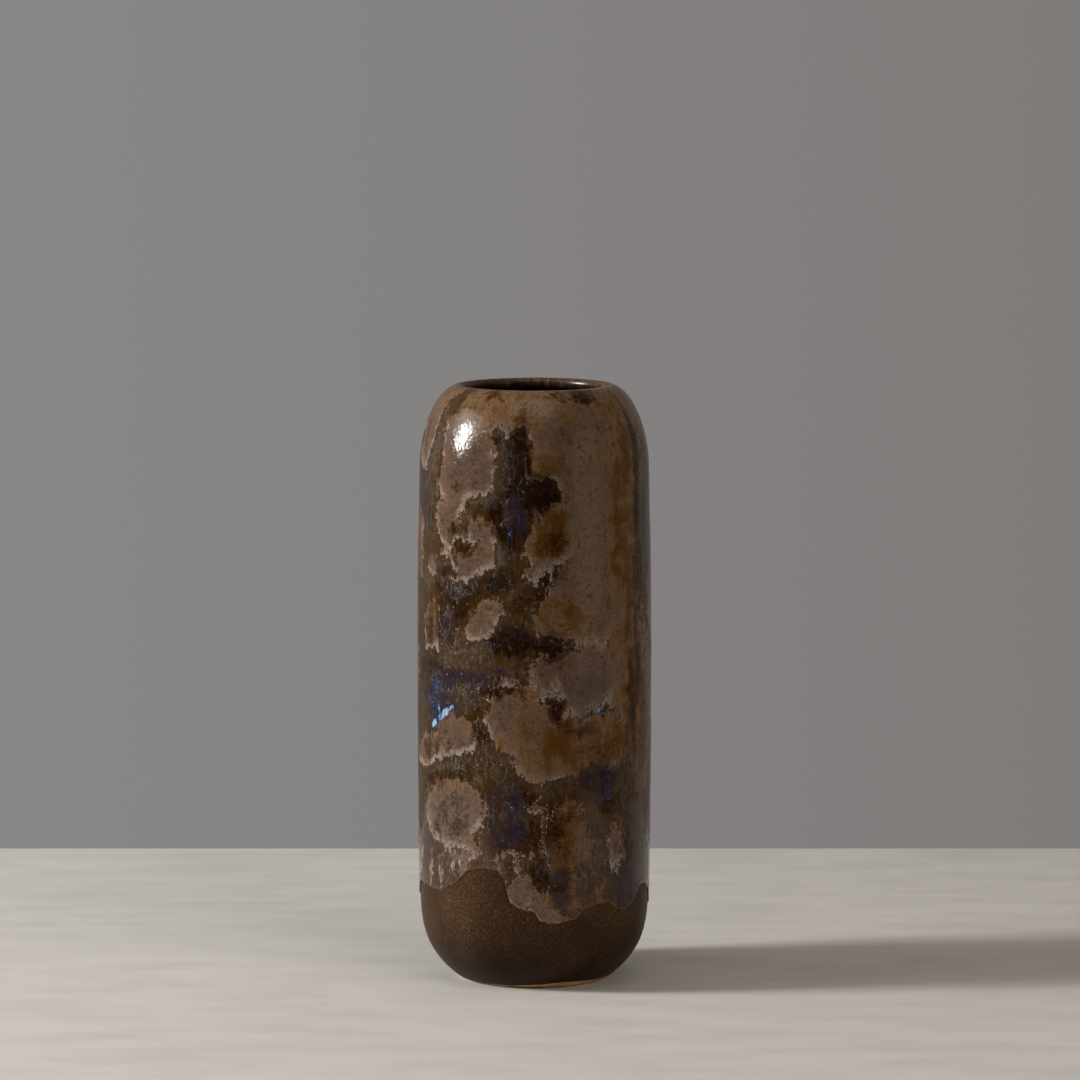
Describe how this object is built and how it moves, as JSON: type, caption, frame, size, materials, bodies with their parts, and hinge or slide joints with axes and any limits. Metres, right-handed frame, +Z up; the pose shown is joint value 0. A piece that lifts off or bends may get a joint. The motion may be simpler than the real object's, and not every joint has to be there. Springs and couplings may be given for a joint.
{
  "type": "stoneware vase",
  "caption": "Tall, near-cylindrical stoneware vase with a rounded shoulder, a wide open mouth and a tucked-in bare foot, glazed in brown matt and gloss coats.",
  "frame": {"origin": "centre of the foot on the table", "axes": "+Z up along the pot's axis, from the foot to the lip; -Y faces the front"},
  "size_m": [0.197, 0.1969, 0.5],
  "materials": {
    "bare_stoneware": "unglazed, finely gritted, buff to toasted orange",
    "fired_slip": "unglazed, smooth",
    "liner_gloss": "glossy",
    "brown_matt": "dry matt with fine pits",
    "dark_gloss": "glossy, mottled brown, black and blue",
    "buff_splash": "satin with pits"
  },
  "bodies": {
    "root": {"foot_ring": "bare_stoneware", "base_slab": "bare_stoneware", "lower_wall": "bare_stoneware", "middle_wall": "bare_stoneware", "shoulder_wall": "bare_stoneware", "slip_seams": "fired_slip", "liner_glaze": "liner_gloss", "matt_glaze": "brown_matt", "gloss_glaze": "dark_gloss", "splash_glaze": "buff_splash"}
  },
  "joints": []
}
